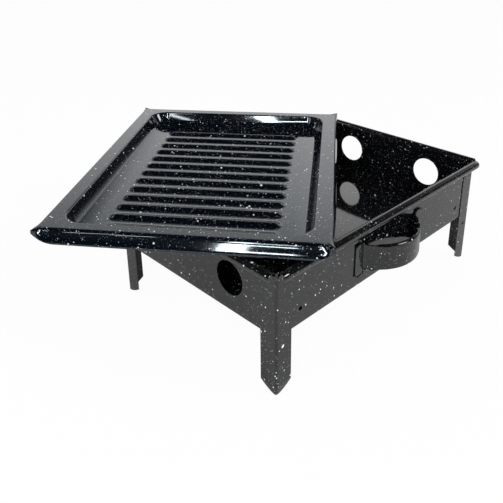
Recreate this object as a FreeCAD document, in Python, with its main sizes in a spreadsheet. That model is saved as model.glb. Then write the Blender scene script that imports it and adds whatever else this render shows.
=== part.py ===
import FreeCAD, Part
import Sketcher

import math
import os

# Tabletop brazier grill: an enamelled sheet steel fire box on four angle legs,
# a bowed strip handle on each long side, and a loose ribbed griddle tray on top.
#
# Frame: millimetres, origin on the table at the middle of the four legs,
# X across the box, Y along it, Z up. The tray lies turned across the box.

doc = FreeCAD.newDocument("BrazierGrill")
sizes = doc.addObject("Spreadsheet::Sheet", "Sizes")

drivingSizes = [
    ("sheet", 1.0, "thickness of the fire box sheet"),
    ("box_width", 298.0, "fire box across X, outside its walls"),
    ("box_length", 426.6, "fire box along Y, outside its walls"),
    ("floor_height", 77.0, "underside of the fire box floor above the table"),
    ("rim_height", 165.5, "crest of the rolled lip above the table"),
    ("lip_radius", 6.3, "outer radius of the half-round rolled lip"),
    ("air_radius", 22.1, "large air hole in the end walls"),
    ("air_spacing", 146.8, "between the two air holes of one end wall"),
    ("air_height", 122.7, "middle of an air hole above the table"),
    ("hang_radius", 2.8, "small hole near each end of a long wall"),
    ("hang_spacing", 347.0, "between the two small holes of one long wall"),
    ("hang_height", 99.0, "middle of a small hole above the table"),
    ("leg_sheet", 1.0, "thickness of the leg angles"),
    ("leg_flange", 25.0, "width of each flange of a leg angle"),
    ("leg_height", 163.5, "length of a leg at its fold"),
    ("leg_tongue", 11.0, "how far a leg's tongue stands above its flanges' shoulders"),
    ("leg_tip", 10.5, "width of the tongue that stands between the lips"),
    ("leg_tip_round", 8.5, "rounding of that tongue"),
    ("leg_corner", 7.0, "rounding of a flange's free corners"),
    ("leg_fold", 1.6, "outer radius of a leg's fold"),
    ("tip_gap", 0.3, "between a leg's tongue and the lips"),
    ("leg_hole_radius", 2.6, "hole in the long wall flange of each leg"),
    ("leg_hole_height", 63.0, "that hole above the table"),
    ("leg_hole_inset", 11.5, "that hole from the fold"),
    ("strap_sheet", 1.5, "thickness of the handle strap"),
    ("strap_span", 147.0, "handle from end to end"),
    ("strap_reach", 33.8, "how far the bow stands off its flanges"),
    ("strap_bow", 61.0, "radius of the bow at mid thickness"),
    ("strap_bend", 6.0, "radius of the bend at mid thickness"),
    ("strap_middle", 115.0, "middle of the handle above the table"),
    ("grip_height", 36.0, "height of the strap along the bow"),
    ("pad_height", 47.0, "height of the flat ends of the strap"),
    ("pad_corner", 4.0, "rounding of the corners of the flat ends"),
    ("grip_length", 110.0, "length of the strap's lower middle part"),
    ("tray_sheet", 1.0, "thickness of the griddle tray"),
    ("tray_width", 346.4, "tray outside its short way"),
    ("tray_length", 456.0, "tray outside its long way"),
    ("tray_skirt", 16.5, "height of the turned-down skirt"),
    ("tray_bend", 7.5, "outer radius of the bend into the skirt"),
    ("skirt_round", 14.0, "rounding of a skirt's two lower corners"),
    ("pan_width", 295.0, "pan at the rim, short way"),
    ("pan_length", 405.0, "pan at the rim, long way"),
    ("pan_depth", 19.2, "rim down to the pan's floor"),
    ("pan_angle", 28.0, "pan wall off the upright, degrees"),
    ("pan_corner", 26.0, "rounding of the pan's corners"),
    ("pan_shoulder", 4.0, "rounding from the rim into the pan"),
    ("rib_number", 13, "ribs across the floor"),
    ("rib_pitch", 26.96, "from one rib to the next"),
    ("rib_start", 147.0, "middle of the back rib from the tray's middle"),
    ("rib_reach", 218.8, "length of a rib"),
    ("rib_width", 16.0, "width of a rib at its foot"),
    ("rib_rise", 4.0, "height of a rib"),
    ("rib_angle", 50.0, "flank of a rib off the upright, degrees"),
    ("tray_shift_x", -91.7, "tray's middle from the box's middle"),
    ("tray_shift_y", -87.7, "tray's middle from the box's middle"),
    ("tray_angle", 38.24, "tray turned about the upright, degrees"),
    ("rest_gap", 0.3, "tray above the lips it lies on"),
]
for row, (alias, number, meaning) in enumerate(drivingSizes, start=1):
    sizes.set("A%d" % row, meaning)
    sizes.set("B%d" % row, str(number))
    sizes.setAlias("B%d" % row, alias)
doc.recompute()


class Measure:
    """A length that knows its number and the sheet expression it comes from."""

    def __init__(self, number, words):
        self.number = number
        self.words = words

    def __add__(self, other):
        other = measure(other)
        return Measure(self.number + other.number, "(%s + %s)" % (self.words, other.words))

    def __sub__(self, other):
        other = measure(other)
        return Measure(self.number - other.number, "(%s - %s)" % (self.words, other.words))

    def __mul__(self, other):
        other = measure(other)
        return Measure(self.number * other.number, "(%s * %s)" % (self.words, other.words))

    def __truediv__(self, other):
        other = measure(other)
        return Measure(self.number / other.number, "(%s / %s)" % (self.words, other.words))

    def __neg__(self):
        return Measure(-self.number, "(0 - %s)" % self.words)


def measure(value):
    if isinstance(value, Measure):
        return value
    if isinstance(value, str):
        return Measure(float(getattr(sizes, value)), "Sizes." + value)
    return Measure(float(value), repr(float(value)))


def tangent(angle):
    """Tangent of an angle that the sheet gives in degrees."""
    angle = measure(angle)
    return Measure(math.tan(math.radians(angle.number)), "tan(%s * 1deg)" % angle.words)


def slant(angle):
    """Length along a slope for one unit across it, from an angle in degrees."""
    angle = measure(angle)
    return Measure(1 / math.cos(math.radians(angle.number)), "(1 / cos(%s * 1deg))" % angle.words)


def bind(thing, path, value):
    thing.setExpression(path, measure(value).words)


def newBody(label):
    body = doc.addObject("PartDesign::Body", label + "_body")
    body.Label = label
    return body


def sketchOn(body, name, role, lift=0):
    """Empty sketch on one of the body's own origin planes, lifted along its normal."""
    sketch = body.newObject("Sketcher::SketchObject", name)
    plane = [feature for feature in body.Origin.OriginFeatures if feature.Role == role][0]
    sketch.AttachmentSupport = [(plane, "")]
    sketch.MapMode = "FlatFace"
    bind(sketch, "AttachmentOffset.Base.z", lift)
    return sketch


def pinPoint(sketch, curve, end, across, up):
    """Dimension one point of a curve from the sketch's origin, both ways."""
    for kind, value in (("DistanceX", across), ("DistanceY", up)):
        value = measure(value)
        index = sketch.addConstraint(Sketcher.Constraint(kind, -1, 1, curve, end, value.number))
        bind(sketch, "Constraints[%d]" % index, value)


def pinRadius(sketch, curve, radius):
    radius = measure(radius)
    index = sketch.addConstraint(Sketcher.Constraint("Radius", curve, radius.number))
    bind(sketch, "Constraints[%d]" % index, radius)


def polygon(sketch, corners):
    """Closed outline whose every corner is dimensioned."""
    corners = [(measure(across), measure(up)) for across, up in corners]
    points = [FreeCAD.Vector(across.number, up.number, 0) for across, up in corners]
    first = sketch.GeometryCount
    count = len(points)
    for index in range(count):
        sketch.addGeometry(Part.LineSegment(points[index], points[(index + 1) % count]), False)
    for index in range(count):
        following = (index + 1) % count
        sketch.addConstraint(Sketcher.Constraint("Coincident", first + index, 2, first + following, 1))
        pinPoint(sketch, first + index, 1, corners[index][0], corners[index][1])


def rectangle(sketch, width, length):
    halfWidth = measure(width) / 2
    halfLength = measure(length) / 2
    corners = [(-halfWidth, -halfLength), (halfWidth, -halfLength)]
    corners += [(halfWidth, halfLength), (-halfWidth, halfLength)]
    polygon(sketch, corners)


def roundedRectangle(sketch, width, length, radius, shift=0):
    """Four arcs on dimensioned middles, joined by lines tangent to them."""
    radius = measure(radius)
    shift = measure(shift)
    across = measure(width) / 2 - radius
    along = measure(length) / 2 - radius
    normal = FreeCAD.Vector(0, 0, 1)
    arcs = []
    for turn, (signX, signY) in enumerate(((1, 1), (-1, 1), (-1, -1), (1, -1))):
        middle = FreeCAD.Vector(across.number * signX, along.number * signY + shift.number, 0)
        ring = Part.Circle(middle, normal, radius.number)
        arc = Part.ArcOfCircle(ring, turn * math.pi / 2, (turn + 1) * math.pi / 2)
        arcs.append(sketch.addGeometry(arc, False))
        pinPoint(sketch, arcs[-1], 3, across * signX, along * signY + shift)
        pinRadius(sketch, arcs[-1], radius)
    for index, arc in enumerate(arcs):
        following = arcs[(index + 1) % 4]
        start = sketch.getPoint(arc, 2)
        stop = sketch.getPoint(following, 1)
        line = sketch.addGeometry(Part.LineSegment(start, stop), False)
        sketch.addConstraint(Sketcher.Constraint("Tangent", arc, 2, line, 1))
        sketch.addConstraint(Sketcher.Constraint("Tangent", line, 2, following, 1))


def slot(sketch, reach, radius, along):
    """Long hole outline across X: two half circles joined by lines."""
    radius = measure(radius)
    along = measure(along)
    inset = measure(reach) / 2 - radius
    normal = FreeCAD.Vector(0, 0, 1)
    arcs = []
    for sign, start in ((1, -math.pi / 2), (-1, math.pi / 2)):
        middle = FreeCAD.Vector(inset.number * sign, along.number, 0)
        arc = Part.ArcOfCircle(Part.Circle(middle, normal, radius.number), start, start + math.pi)
        arcs.append(sketch.addGeometry(arc, False))
        pinPoint(sketch, arcs[-1], 3, inset * sign, along)
        pinRadius(sketch, arcs[-1], radius)
    for first, second in ((arcs[0], arcs[1]), (arcs[1], arcs[0])):
        ends = (sketch.getPoint(first, 2), sketch.getPoint(second, 1))
        line = sketch.addGeometry(Part.LineSegment(*ends), False)
        sketch.addConstraint(Sketcher.Constraint("Tangent", first, 2, line, 1))
        sketch.addConstraint(Sketcher.Constraint("Tangent", line, 2, second, 1))


def circle(sketch, across, up, radius):
    across = measure(across)
    up = measure(up)
    middle = FreeCAD.Vector(across.number, up.number, 0)
    normal = FreeCAD.Vector(0, 0, 1)
    index = sketch.addGeometry(Part.Circle(middle, normal, measure(radius).number), False)
    pinPoint(sketch, index, 3, across, up)
    pinRadius(sketch, index, radius)


def pad(body, name, sketch, length, taper=None, reverse=False, bothWays=False):
    feature = body.newObject("PartDesign::Pad", name)
    feature.Profile = sketch
    feature.Reversed = reverse
    feature.Midplane = bothWays
    bind(feature, "Length", length)
    if taper is not None:
        bind(feature, "TaperAngle", taper)
    doc.recompute()
    return feature


def pocket(body, name, sketch, length, taper=None, reverse=False, bothWays=False):
    """Cut that has to take something away."""
    before = body.Shape.Volume
    feature = body.newObject("PartDesign::Pocket", name)
    feature.Profile = sketch
    feature.Reversed = reverse
    feature.Midplane = bothWays
    bind(feature, "Length", length)
    if taper is not None:
        bind(feature, "TaperAngle", taper)
    doc.recompute()
    if feature.Shape.Volume >= before:
        raise RuntimeError(name + " cuts nothing")
    return feature


def roundEdges(body, name, radius, test):
    """Fillet on the edges of the body's last feature that pass the test."""
    tip = body.Tip
    chosen = []
    for index, edge in enumerate(tip.Shape.Edges, start=1):
        if test(edge):
            chosen.append("Edge%d" % index)
    if not chosen:
        raise RuntimeError(name + " finds no edge")
    fillet = body.newObject("PartDesign::Fillet", name)
    fillet.Base = (tip, chosen)
    bind(fillet, "Radius", radius)
    doc.recompute()
    return fillet


def repeatFeature(body, name, feature, step, count):
    """Copies of a feature in a row towards -Y."""
    pattern = body.newObject("PartDesign::LinearPattern", name)
    pattern.Originals = [feature]
    axis = [item for item in body.Origin.OriginFeatures if item.Role == "Y_Axis"][0]
    pattern.Direction = (axis, [""])
    pattern.Reversed = True
    bind(pattern, "Length", measure(step) * (measure(count) - 1))
    bind(pattern, "Occurrences", count)
    body.Tip = pattern
    doc.recompute()
    return pattern


def value(alias):
    return measure(alias).number


touching = 0.01


def same(first, second):
    return abs(first - second) < touching


def level(edge, height):
    """Whether an edge lies flat at one height."""
    box = edge.BoundBox
    return same(box.ZMin, height) and same(box.ZMax, height)


def makeFireBox():
    """Folded box with floor and walls, rolled lips, air holes and small holes."""
    body = newBody("fire_box")
    sheet = measure("sheet")
    width = measure("box_width")
    length = measure("box_length")
    lip = measure("lip_radius")
    rollHeight = measure("rim_height") - lip
    wallHeight = rollHeight - measure("floor_height")

    outer = sketchOn(body, "BoxOutline", "XY_Plane", "floor_height")
    rectangle(outer, width, length)
    pad(body, "BoxBlock", outer, wallHeight)
    inner = sketchOn(body, "BoxHollow", "XY_Plane", rollHeight)
    rectangle(inner, width - sheet * 2, length - sheet * 2)
    pocket(body, "BoxInside", inner, wallHeight - sheet)

    walls = [("Long", "XZ_Plane", width / 2, length), ("End", "YZ_Plane", length / 2, width)]
    for name, role, half, span in walls:
        for side, sign in (("Plus", 1), ("Minus", -1)):
            middle = (half - sheet + lip) * sign
            roll = sketchOn(body, name + side + "Roll", role)
            halfRing(roll, middle, rollHeight, lip, lip - sheet)
            pad(body, name + side + "Lip", roll, span, bothWays=True)

    # slots in the lips' roots, where the legs' tongues stand up between them
    legSheet = measure("leg_sheet")
    slotWidth = legSheet + measure("tip_gap")
    slotReach = measure("leg_tip") - legSheet + measure("tip_gap")
    slots = sketchOn(body, "TongueSlots", "XY_Plane", "rim_height")
    for signX in (1, -1):
        for signY in (1, -1):
            wallX = width / 2 * signX
            wallY = length / 2 * signY
            outX = wallX + slotWidth * signX
            outY = wallY + slotWidth * signY
            backX = wallX - slotReach * signX
            backY = wallY - slotReach * signY
            polygon(slots, [(wallX, wallY), (outX, wallY), (outX, backY), (wallX, backY)])
            polygon(slots, [(wallX, wallY), (wallX, outY), (backX, outY), (backX, wallY)])
    pocket(body, "TongueSlotsCut", slots, lip)

    bothLips = lip * 2 * 2
    air = sketchOn(body, "AirHoles", "XZ_Plane")
    for sign in (1, -1):
        circle(air, measure("air_spacing") / 2 * sign, "air_height", "air_radius")
    pocket(body, "AirHolesCut", air, length + bothLips, bothWays=True)
    hang = sketchOn(body, "SmallHoles", "YZ_Plane")
    for sign in (1, -1):
        circle(hang, measure("hang_spacing") / 2 * sign, "hang_height", "hang_radius")
    pocket(body, "SmallHolesCut", hang, width + bothLips, bothWays=True)
    return body


def halfRing(sketch, across, up, outerRadius, innerRadius):
    """Upper half of a ring: two arcs about one middle, closed by two short lines."""
    across = measure(across)
    up = measure(up)
    middle = FreeCAD.Vector(across.number, up.number, 0)
    normal = FreeCAD.Vector(0, 0, 1)
    radii = (measure(outerRadius), measure(innerRadius))
    arcs = []
    for radius in radii:
        ring = Part.Circle(middle, normal, radius.number)
        arcs.append(sketch.addGeometry(Part.ArcOfCircle(ring, 0, math.pi), False))
    ends = []
    for sign in (1, -1):
        start = middle + FreeCAD.Vector(sign * radii[1].number, 0, 0)
        stop = middle + FreeCAD.Vector(sign * radii[0].number, 0, 0)
        ends.append(sketch.addGeometry(Part.LineSegment(start, stop), False))
    pinPoint(sketch, arcs[0], 3, across, up)
    sketch.addConstraint(Sketcher.Constraint("Coincident", arcs[1], 3, arcs[0], 3))
    for arc, radius in zip(arcs, radii):
        pinRadius(sketch, arc, radius)
    for end, line in enumerate(ends, start=1):
        sketch.addConstraint(Sketcher.Constraint("Coincident", line, 1, arcs[1], end))
        sketch.addConstraint(Sketcher.Constraint("Coincident", line, 2, arcs[0], end))
        sketch.addConstraint(Sketcher.Constraint("Horizontal", line))
    sketch.addConstraint(Sketcher.Constraint("PointOnObject", arcs[0], 3, ends[0]))
    sketch.addConstraint(Sketcher.Constraint("PointOnObject", arcs[0], 3, ends[1]))


def makeLeg(label, sideX, sideY):
    """Angle leg outside one corner of the box, its fold at the corner."""
    body = newBody(label)
    sheet = measure("leg_sheet")
    cornerX = (measure("box_width") / 2 + sheet) * sideX
    cornerY = (measure("box_length") / 2 + sheet) * sideY
    flange = measure("leg_flange")
    height = measure("leg_height")

    endFlange = sketchOn(body, "EndFlange", "XY_Plane")
    inX = cornerX - sheet * sideX
    inY = cornerY - sheet * sideY
    farX = cornerX - flange * sideX
    farY = cornerY - flange * sideY
    corners = [(cornerX, cornerY), (farX, cornerY), (farX, inY), (inX, inY), (inX, farY), (cornerX, farY)]
    polygon(endFlange, corners)
    pad(body, "Angle", endFlange, height)

    # above the shoulder only a tongue beside the fold is left of each flange
    shoulder = height - "leg_tongue"
    tip = measure("leg_tip")
    tipX = cornerX - tip * sideX
    tipY = cornerY - tip * sideY
    besideFold = sketchOn(body, "ShoulderX", "XZ_Plane", -cornerY + flange * sideY / 2)
    polygon(besideFold, [(tipX, shoulder), (farX, shoulder), (farX, height), (tipX, height)])
    pocket(body, "ShoulderCutX", besideFold, flange * 2, bothWays=True)
    besideFold = sketchOn(body, "ShoulderY", "YZ_Plane", cornerX - flange * sideX / 2)
    polygon(besideFold, [(tipY, shoulder), (farY, shoulder), (farY, height), (tipY, height)])
    pocket(body, "ShoulderCutY", besideFold, flange * 2, bothWays=True)

    def freeCorner(edge):
        """Short level edges across the sheet at the two far edges of the flanges."""
        middle = edge.CenterOfMass
        atEnd = same(middle.z, 0) or same(middle.z, shoulder.number)
        atFarX = same(middle.x, farX.number)
        atFarY = same(middle.y, farY.number)
        return atEnd and (atFarX or atFarY)

    def tipCorner(edge):
        middle = edge.CenterOfMass
        atTip = same(middle.x, tipX.number) or same(middle.y, tipY.number)
        return same(middle.z, height.number) and atTip

    def fold(edge):
        middle = edge.CenterOfMass
        return same(middle.x, cornerX.number) and same(middle.y, cornerY.number)

    roundEdges(body, "FreeCorners", "leg_corner", freeCorner)
    roundEdges(body, "TipCorners", "leg_tip_round", tipCorner)
    roundEdges(body, "Fold", "leg_fold", fold)
    hole = sketchOn(body, "LegHole", "YZ_Plane", cornerX - flange * sideX / 2)
    circle(hole, cornerY - measure("leg_hole_inset") * sideY, "leg_hole_height", "leg_hole_radius")
    pocket(body, "LegHoleCut", hole, flange, reverse=sideX > 0)
    return body


def makeHandle(label, side):
    """Strap bent along one path: flat end, bend, bow, bend, flat end."""
    body = newBody(label)
    thick = measure("strap_sheet")
    base = measure("box_width") / 2 + thick / 2
    span = measure("strap_span")
    reach = measure("strap_reach")
    bow = measure("strap_bow")
    bend = measure("strap_bend")
    bowMiddle = base + reach - bow

    # the bow meets each bend where their middles lie on one line through the joint
    swing = math.acos((base.number + bend.number - bowMiddle.number) / (bow.number + bend.number))
    bendAcross = base.number + bend.number
    bendAlong = (bow.number + bend.number) * math.sin(swing)
    normal = FreeCAD.Vector(0, 0, 1)

    def spot(across, along):
        return FreeCAD.Vector(across * side, along, 0)

    def arcAbout(middle, radius, first, second):
        """Arc between two directions seen from its middle, turned for the side."""
        if side < 0:
            first, second = math.pi - second, math.pi - first
        return Part.ArcOfCircle(Part.Circle(middle, normal, radius), first, second)

    path = sketchOn(body, "StrapPath", "XY_Plane", "strap_middle")
    halfSpan = span.number / 2
    half = math.pi
    curves = [
        Part.LineSegment(spot(base.number, -halfSpan), spot(base.number, -bendAlong)),
        arcAbout(spot(bendAcross, -bendAlong), bend.number, half - swing, half),
        arcAbout(spot(bowMiddle.number, 0), bow.number, -swing, swing),
        arcAbout(spot(bendAcross, bendAlong), bend.number, half, half + swing),
        Part.LineSegment(spot(base.number, bendAlong), spot(base.number, halfSpan)),
    ]
    flatOne, bendOne, bowArc, bendTwo, flatTwo = path.addGeometry(curves, False)

    # an arc's ends swap when the strap is on the other side
    low, high = (1, 2) if side > 0 else (2, 1)
    path.addConstraint(Sketcher.Constraint("Tangent", flatOne, 2, bendOne, high))
    path.addConstraint(Sketcher.Constraint("Tangent", bendOne, low, bowArc, low))
    path.addConstraint(Sketcher.Constraint("Tangent", bowArc, high, bendTwo, high))
    path.addConstraint(Sketcher.Constraint("Tangent", bendTwo, low, flatTwo, 1))
    path.addConstraint(Sketcher.Constraint("Vertical", flatOne))
    path.addConstraint(Sketcher.Constraint("Vertical", flatTwo))
    pinPoint(path, flatOne, 1, base * side, -span / 2)
    pinPoint(path, flatTwo, 2, base * side, span / 2)
    pinPoint(path, bowArc, 3, bowMiddle * side, 0)
    for curve, radius in ((bowArc, bow), (bendOne, bend), (bendTwo, bend)):
        pinRadius(path, curve, radius)
    doc.recompute()

    section = sketchOn(body, "StrapSection", "XZ_Plane", span / 2)
    middleHeight = measure("strap_middle")
    halfPad = measure("pad_height") / 2
    near = (base - thick / 2) * side
    far = (base + thick / 2) * side
    polygon(section, [(near, middleHeight - halfPad), (far, middleHeight - halfPad),
                      (far, middleHeight + halfPad), (near, middleHeight + halfPad)])
    doc.recompute()
    pipe = body.newObject("PartDesign::AdditivePipe", "Strap")
    pipe.Profile = section
    pipe.Spine = (path, [])
    pipe.Mode = "Standard"
    doc.recompute()

    # the strap is cut lower along the bow than at its flat ends
    halfGrip = measure("grip_height") / 2
    run = halfPad - halfGrip
    halfLength = measure("grip_length") / 2
    waist = sketchOn(body, "Waist", "YZ_Plane")
    for sign in (1, -1):
        low = middleHeight + halfGrip * sign
        high = middleHeight + halfPad * sign
        slopeEnd = halfLength + run
        polygon(waist, [(-halfLength, low), (halfLength, low), (slopeEnd, high), (-slopeEnd, high)])
    pocket(body, "WaistCut", waist, (base + reach + thick) * 2, bothWays=True)

    def padEdge(edge):
        middle = edge.CenterOfMass
        atEnd = same(abs(middle.y), span.number / 2)
        atSide = same(abs(middle.z - middleHeight.number), halfPad.number)
        return atEnd and atSide

    roundEdges(body, "PadCorners", "pad_corner", padEdge)
    return body


def makeTray():
    """Pressed tray, modelled level about its own middle with its rim's top at zero."""
    body = newBody("griddle_tray")
    sheet = measure("tray_sheet")
    width = measure("tray_width")
    length = measure("tray_length")
    skirt = measure("tray_skirt")
    depth = measure("pan_depth")
    slope = measure("pan_angle")

    rim = sketchOn(body, "RimOutline", "XY_Plane")
    rectangle(rim, width, length)
    pad(body, "RimBlock", rim, skirt, reverse=True)
    under = sketchOn(body, "RimUnderside", "XY_Plane", -skirt)
    rectangle(under, width - sheet * 2, length - sheet * 2)
    pocket(body, "RimHollow", under, skirt - sheet, reverse=True)

    def innerBend(edge):
        return level(edge, -sheet.number)

    def outerBend(edge):
        return level(edge, 0)

    roundEdges(body, "InnerBend", measure("tray_bend") - sheet, innerBend)
    roundEdges(body, "OuterBend", "tray_bend", outerBend)

    # the wall's own thickness is measured square to its slope
    wall = sheet * slant(slope)
    thinning = wall - sheet * tangent(slope)
    corner = measure("pan_corner")
    panOuter = sketchOn(body, "PanOuter", "XY_Plane", -sheet)
    outerWidth = measure("pan_width") + thinning * 2
    outerLength = measure("pan_length") + thinning * 2
    roundedRectangle(panOuter, outerWidth, outerLength, corner + thinning)
    pad(body, "PanBlock", panOuter, depth, taper=-slope, reverse=True)
    panInner = sketchOn(body, "PanInner", "XY_Plane")
    roundedRectangle(panInner, "pan_width", "pan_length", corner)
    pocket(body, "PanHollow", panInner, depth, taper=-slope)

    # each rib is pressed up from below, so its underside follows its top
    ribSlope = measure("rib_angle")
    ribThinning = sheet * slant(ribSlope) - sheet * tangent(ribSlope)
    ribWidth = measure("rib_width")
    ribReach = measure("rib_reach")
    rise = measure("rib_rise")
    start = measure("rib_start")
    ribTop = sketchOn(body, "RibTop", "XY_Plane", -depth)
    slot(ribTop, ribReach, ribWidth / 2, start)
    ribPad = pad(body, "RibPad", ribTop, rise, taper=-ribSlope)
    repeatFeature(body, "RibPads", ribPad, "rib_pitch", "rib_number")
    ribUnder = sketchOn(body, "RibUnder", "XY_Plane", -depth - sheet)
    slot(ribUnder, ribReach - ribThinning * 2, ribWidth / 2 - ribThinning, start)
    ribCut = pocket(body, "RibCut", ribUnder, rise, taper=-ribSlope, reverse=True)
    repeatFeature(body, "RibCuts", ribCut, "rib_pitch", "rib_number")

    shoulder = measure("pan_shoulder")
    roundEdges(body, "ShoulderTop", shoulder, panMouth(0))
    roundEdges(body, "ShoulderUnder", shoulder - sheet, panMouth(-sheet.number))

    # the lower corners of each skirt are cut round, from outside through its sheet
    depthCut = sheet * 2
    for name, role, span, out in (("End", "XZ_Plane", width, length), ("Long", "YZ_Plane", length, width)):
        for side, sign in (("Plus", 1), ("Minus", -1)):
            lift = (out / 2 - depthCut / 2) * sign
            # the XZ plane's normal looks towards -Y
            skirtEnds = sketchOn(body, name + side + "Corners", role, -lift if name == "End" else lift)
            for cornerSign in (1, -1):
                cornerWaste(skirtEnds, span / 2, -skirt, "skirt_round", cornerSign)
            pocket(body, name + side + "CornersCut", skirtEnds, depthCut, bothWays=True)

    # laid across the box, its pan on the lips of two walls
    upright = FreeCAD.Vector(0, 0, 1)
    body.Placement = FreeCAD.Placement(FreeCAD.Vector(), FreeCAD.Rotation(upright, value("tray_angle")))
    bind(body, "Placement.Rotation.Angle", "tray_angle")
    bind(body, "Placement.Base.x", "tray_shift_x")
    bind(body, "Placement.Base.y", "tray_shift_y")
    bind(body, "Placement.Base.z", measure("rim_height") + "rest_gap" + depth + sheet)
    return body


def cornerWaste(sketch, reach, low, radius, sign):
    """What a rounding takes off one lower corner: two lines and the arc between them."""
    reach = measure(reach)
    low = measure(low)
    radius = measure(radius)
    middleX = (reach - radius) * sign
    middleY = low + radius
    middle = FreeCAD.Vector(middleX.number, middleY.number, 0)
    ring = Part.Circle(middle, FreeCAD.Vector(0, 0, 1), radius.number)
    quarter = math.pi / 2
    first = 3 * quarter if sign > 0 else 2 * quarter
    arc = sketch.addGeometry(Part.ArcOfCircle(ring, first, first + quarter), False)
    corner = FreeCAD.Vector(reach.number * sign, low.number, 0)
    onSide = FreeCAD.Vector(reach.number * sign, middleY.number, 0)
    onBottom = FreeCAD.Vector(middleX.number, low.number, 0)
    upright = sketch.addGeometry(Part.LineSegment(onSide, corner), False)
    foot = sketch.addGeometry(Part.LineSegment(corner, onBottom), False)
    sideEnd, bottomEnd = (2, 1) if sign > 0 else (1, 2)
    sketch.addConstraint(Sketcher.Constraint("Coincident", upright, 2, foot, 1))
    sketch.addConstraint(Sketcher.Constraint("Coincident", upright, 1, arc, sideEnd))
    sketch.addConstraint(Sketcher.Constraint("Coincident", foot, 2, arc, bottomEnd))
    pinPoint(sketch, upright, 2, reach * sign, low)
    pinPoint(sketch, upright, 1, reach * sign, middleY)
    pinPoint(sketch, foot, 2, middleX, low)
    pinRadius(sketch, arc, radius)


def panMouth(height):
    """Edges round the pan where it leaves the rim, at one height."""
    halfway = (value("pan_length") + value("tray_length")) / 2
    reach = halfway / 2

    def test(edge):
        box = edge.BoundBox
        return level(edge, height) and max(box.YMax, -box.YMin) < reach

    return test


fireBox = makeFireBox()
legs = [
    makeLeg("leg_front_right", 1, -1),
    makeLeg("leg_back_right", 1, 1),
    makeLeg("leg_front_left", -1, -1),
    makeLeg("leg_back_left", -1, 1),
]
handles = [makeHandle("handle_right", 1), makeHandle("handle_left", -1)]
griddleTray = makeTray()
pieces = [fireBox] + legs + handles + [griddleTray]

doc.recompute()
for item in doc.Objects:
    if "Invalid" in item.State or "Error" in item.State:
        raise RuntimeError(item.Label + " did not build")
for piece in pieces:
    if piece.Shape.isNull() or not piece.Shape.isValid():
        raise RuntimeError(piece.Label + " is not a valid solid")

os.makedirs("parts", exist_ok=True)
for piece in pieces:
    piece.Shape.exportStep(os.path.join("parts", piece.Label + ".step"))
    box = piece.Shape.BoundBox
    corners = (box.XMin, box.XMax, box.YMin, box.YMax, box.ZMin, box.ZMax)
    print(piece.Label, "solids", len(piece.Shape.Solids), "volume", round(piece.Shape.Volume),
          "box", [round(corner, 2) for corner in corners])
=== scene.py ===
import math

import bmesh
import bpy
import numpy as np
from mathutils import Matrix, Vector


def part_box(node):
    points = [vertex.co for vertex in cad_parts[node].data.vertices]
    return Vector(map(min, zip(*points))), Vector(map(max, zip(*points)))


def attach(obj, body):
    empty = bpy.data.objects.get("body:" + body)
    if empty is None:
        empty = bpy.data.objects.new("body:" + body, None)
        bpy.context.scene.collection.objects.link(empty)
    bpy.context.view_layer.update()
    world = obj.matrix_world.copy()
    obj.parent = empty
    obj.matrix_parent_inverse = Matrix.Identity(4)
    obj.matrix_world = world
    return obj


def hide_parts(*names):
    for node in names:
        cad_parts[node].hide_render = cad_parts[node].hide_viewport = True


# tabletop grill in black enamel: fire box, four legs, two handles and a loose griddle tray
# lengths are in metres and angles in degrees

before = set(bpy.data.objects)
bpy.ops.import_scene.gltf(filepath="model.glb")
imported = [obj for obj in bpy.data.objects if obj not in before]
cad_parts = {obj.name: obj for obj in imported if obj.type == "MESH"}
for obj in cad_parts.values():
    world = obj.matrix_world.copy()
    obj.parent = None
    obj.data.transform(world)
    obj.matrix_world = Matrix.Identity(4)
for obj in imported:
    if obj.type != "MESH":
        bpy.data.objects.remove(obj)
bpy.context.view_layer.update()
print("frame loaded")

mm = 0.001
roundedFrom = 60.0    # edges sharper than this get a rounding
creaseFrom = 32.0     # edges sharper than this stay crisp in the shading
squareTo = 0.9        # cosine above which a face counts as square to a direction
hair = 1e-9           # slack for comparing lengths


# sheet helpers: every new piece is a grid of points that gets its thickness afterwards

def gridFaces(rows, columns, closed=False):
    # point (row, column) has the index row * columns + column, and each face joins a
    # point, the next one in its row and the same two of the next row
    wide = columns if closed else columns - 1
    row, column = np.meshgrid(np.arange(rows - 1), np.arange(wide), indexing="ij")
    nextColumn = (column + 1) % columns    # a closed grid's last column meets its first
    corners = [row * columns + column, row * columns + nextColumn]
    corners += [(row + 1) * columns + nextColumn, (row + 1) * columns + column]
    return np.stack(corners, axis=-1).reshape(-1, 4)


def meshFrom(name, points, faces):
    # points are rows of x, y, z and faces are rows of four indices
    mesh = bpy.data.meshes.new(name)
    mesh.from_pydata(np.asarray(points, dtype=float).reshape(-1, 3).tolist(), [], faces.tolist())
    mesh.validate()
    piece = bpy.data.objects.new(name, mesh)
    bpy.context.scene.collection.objects.link(piece)
    return piece


def joinGrids(grids):
    # (points, faces) pairs as one pair, each one's indices moved past the points before it
    allPoints = []
    allFaces = []
    count = 0
    for points, faces in grids:
        points = np.asarray(points).reshape(-1, 3)
        allPoints.append(points)
        allFaces.append(np.asarray(faces) + count)
        count += len(points)
    return np.concatenate(allPoints), np.concatenate(allFaces)


def closeSpan(first, last, largest):
    # even steps from first to last, none larger than the largest
    count = max(1, math.ceil(abs(last - first) / largest - hair))
    return np.linspace(first, last, count + 1)


def mergeSteps(values, least):
    # sorted values without those that lie less than the least distance past the one kept
    values = np.sort(np.asarray(values))
    kept = [values[0]]
    for value in values[1:]:
        if value - kept[-1] > least:
            kept.append(value)
    return np.array(kept)


def nearestIndex(values, wanted):
    # place of the value with the smallest distance from the wanted one
    return int(np.argmin(np.abs(values - wanted)))


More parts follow.
